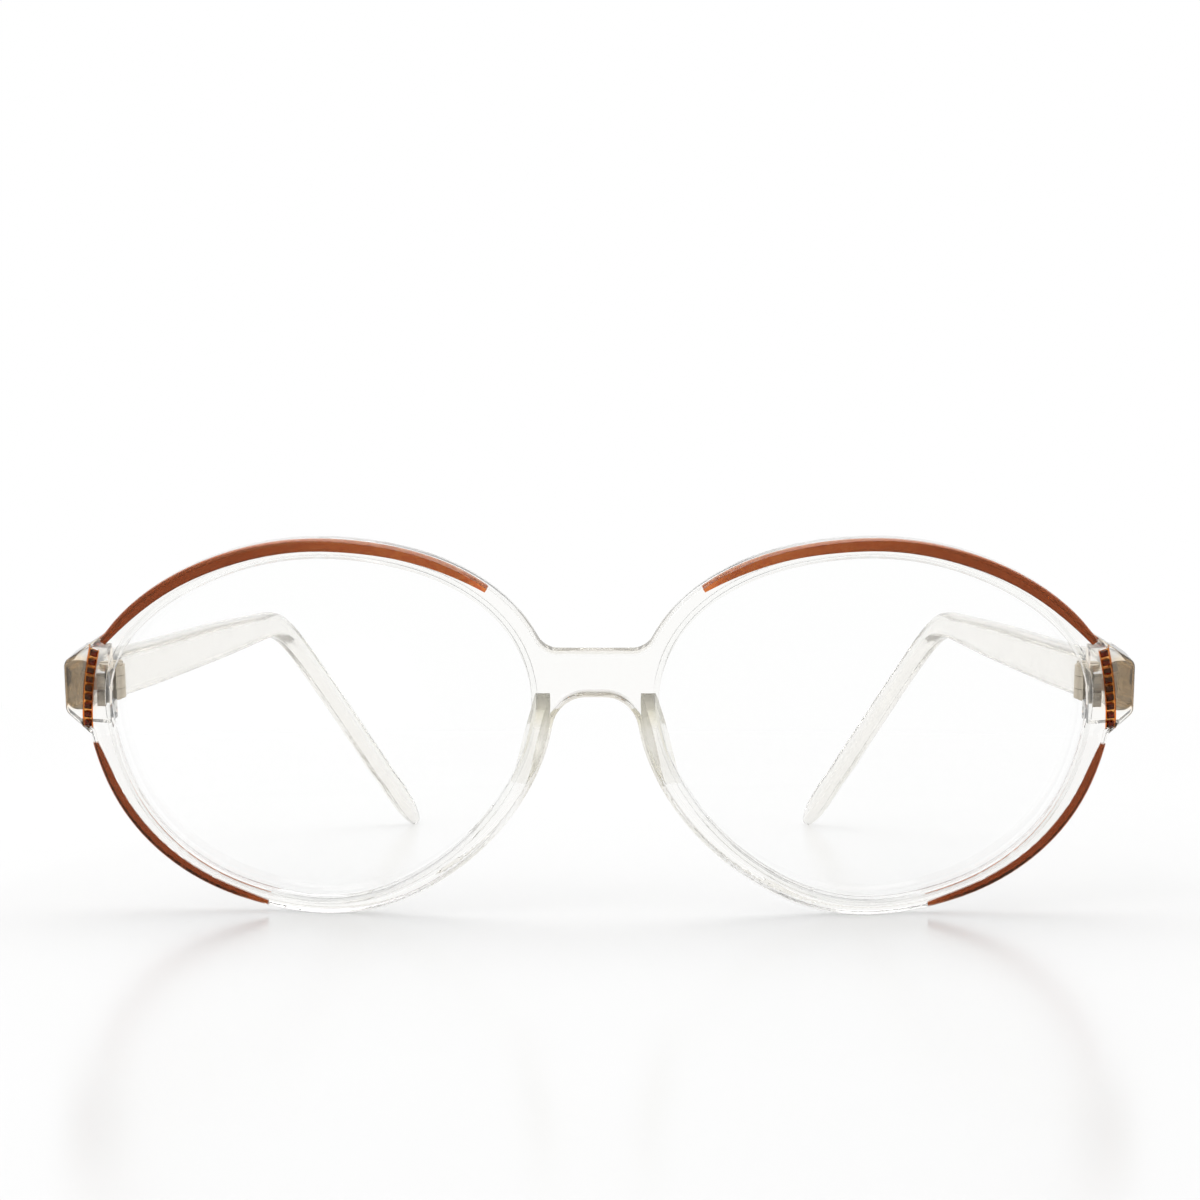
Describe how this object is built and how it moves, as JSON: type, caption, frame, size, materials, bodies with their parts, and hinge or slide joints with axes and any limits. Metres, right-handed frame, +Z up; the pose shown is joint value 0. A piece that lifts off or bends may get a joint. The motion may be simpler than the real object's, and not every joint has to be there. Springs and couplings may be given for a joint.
{
  "type": "eyeglasses",
  "caption": "Oval eyeglasses with a clear moulded front, brown inlaid bands, beaded end pieces, clear lenses and two folding temples on barrel hinges.",
  "frame": {"origin": "centre of the footprint, on the surface that the eyeglasses stand on", "axes": "+X to the wearer's left, +Y backwards along the temples, +Z up"},
  "size_m": [0.14, 0.1362, 0.0493],
  "materials": {
    "clear_plastic": "polished clear plastic, faintly warm",
    "temple_plastic": "polished clear plastic, worn slightly matt",
    "pad_plastic": "polished clear plastic, a little yellowed",
    "lens": "clear polished plastic lens",
    "brown_trim": "reddish brown, translucent amber edges, polished",
    "amber_strip": "translucent amber, polished",
    "dark_beads": "very dark brown, polished facets",
    "hinge_metal": "nickel silver, satin",
    "screw_metal": "steel, turned"
  },
  "bodies": {
    "front": {"front_frame": "clear_plastic", "left_bead_strip": "amber_strip", "left_beads": "dark_beads", "left_front_hinge": "hinge_metal", "left_hinge_screw": "screw_metal", "left_lens": "lens", "left_lower_trim": "brown_trim", "left_nose_pad": "pad_plastic", "left_upper_trim": "brown_trim", "right_bead_strip": "amber_strip", "right_beads": "dark_beads", "right_front_hinge": "hinge_metal", "right_hinge_screw": "screw_metal", "right_lens": "lens", "right_lower_trim": "brown_trim", "right_nose_pad": "pad_plastic", "right_upper_trim": "brown_trim"},
    "left_temple": {"left_temple": "temple_plastic", "left_temple_hinge": "hinge_metal"},
    "right_temple": {"right_temple": "temple_plastic", "right_temple_hinge": "hinge_metal"}
  },
  "joints": [
    {"name": "left_hinge", "type": "hinge", "parent": "front", "child": "left_temple", "pos_m": [0.0642, -0.04953, 0.03048], "axis": [0, -0.2164, 0.9763], "range_deg": [0, 82]},
    {"name": "right_hinge", "type": "hinge", "parent": "front", "child": "right_temple", "pos_m": [-0.0642, -0.04953, 0.03048], "axis": [0, 0.2164, -0.9763], "range_deg": [0, 77]}
  ]
}
